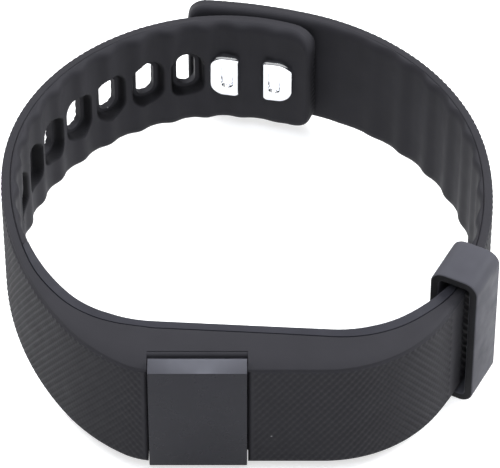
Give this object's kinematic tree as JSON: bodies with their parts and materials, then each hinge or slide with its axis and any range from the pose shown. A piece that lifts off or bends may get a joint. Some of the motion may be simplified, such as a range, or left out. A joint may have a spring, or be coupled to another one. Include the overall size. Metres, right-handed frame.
{
  "type": "fitness tracker band",
  "caption": "Closed fitness tracker band in charcoal rubber with a raised display block, sliding keeper loop and a peg clasp.",
  "frame": {"origin": "middle of the closed band's footprint, level with the lower edge of the keeper loop, its lowest point", "axes": "+Z across the band's width, -Y out of the face with the raised block, +X to the keeper side"},
  "size_m": [0.0722, 0.0772, 0.0246],
  "materials": {
    "soft_rubber": "matt, dark charcoal, fine raised lattice outside",
    "case_plastic": "satin charcoal",
    "bezel_plastic": "satin blue-grey",
    "cover": "dark tinted window",
    "steel": "bright",
    "chrome": "polished",
    "board": "green solder mask",
    "chip": "matt black",
    "gold": "gold plated",
    "copper": "copper",
    "foil": "pouch foil",
    "foam": "foam",
    "glass": "display glass"
  },
  "bodies": {
    "tracker": {"front_shell": "soft_rubber", "module_back_case": "case_plastic", "module_front_case": "case_plastic", "block_bezel": "bezel_plastic", "face_cover": "cover", "touch_electrode": "copper", "display_panel": "glass", "display_foam": "foam", "display_flex": "copper", "main_board": "board", "board_screws": "steel", "radio_chip": "chip", "memory_chip": "chip", "motion_chip": "chip", "power_chip": "chip", "clock_crystal": "foil", "chip_antenna": "gold", "battery": "foil", "battery_tape": "foam", "battery_leads": "copper", "motor_case": "steel", "motor_shaft": "steel", "motor_magnet": "steel", "motor_pad": "foam", "case_seal": "foam", "charge_contacts": "gold"},
    "hole_strap": {"hole_strap": "soft_rubber"},
    "clasp_strap": {"clasp_strap": "soft_rubber", "clasp_plate": "steel", "clasp_pegs": "chrome"},
    "keeper": {"keeper_loop": "case_plastic"},
    "motor_rotor": {"motor_weight": "steel"}
  },
  "joints": [
    {"name": "clasp_strap_swing", "type": "hinge", "parent": "tracker", "child": "clasp_strap", "pos_m": [0.03386, -0.01015, 0.0119], "axis": [0, 0, -1], "range_deg": [0, 20]},
    {"name": "hole_strap_swing", "type": "hinge", "parent": "tracker", "child": "hole_strap", "pos_m": [-0.03491, 0.00172, 0.0119], "axis": [0, 0, -1], "range_deg": [0, 20]},
    {"name": "keeper_slide", "type": "slide", "parent": "tracker", "child": "keeper", "axis": [0.342, 0.9397, 0], "range_m": [-0.0004, 0.0024]},
    {"name": "motor_spin", "type": "hinge", "parent": "tracker", "child": "motor_rotor", "pos_m": [-0.01207, -0.0345, 0.0078], "axis": [0, 1, 0], "continuous": true}
  ],
  "couplings": [
    {"joint": "hole_strap_swing", "follows": "clasp_strap_swing", "ratio": 1}
  ]
}
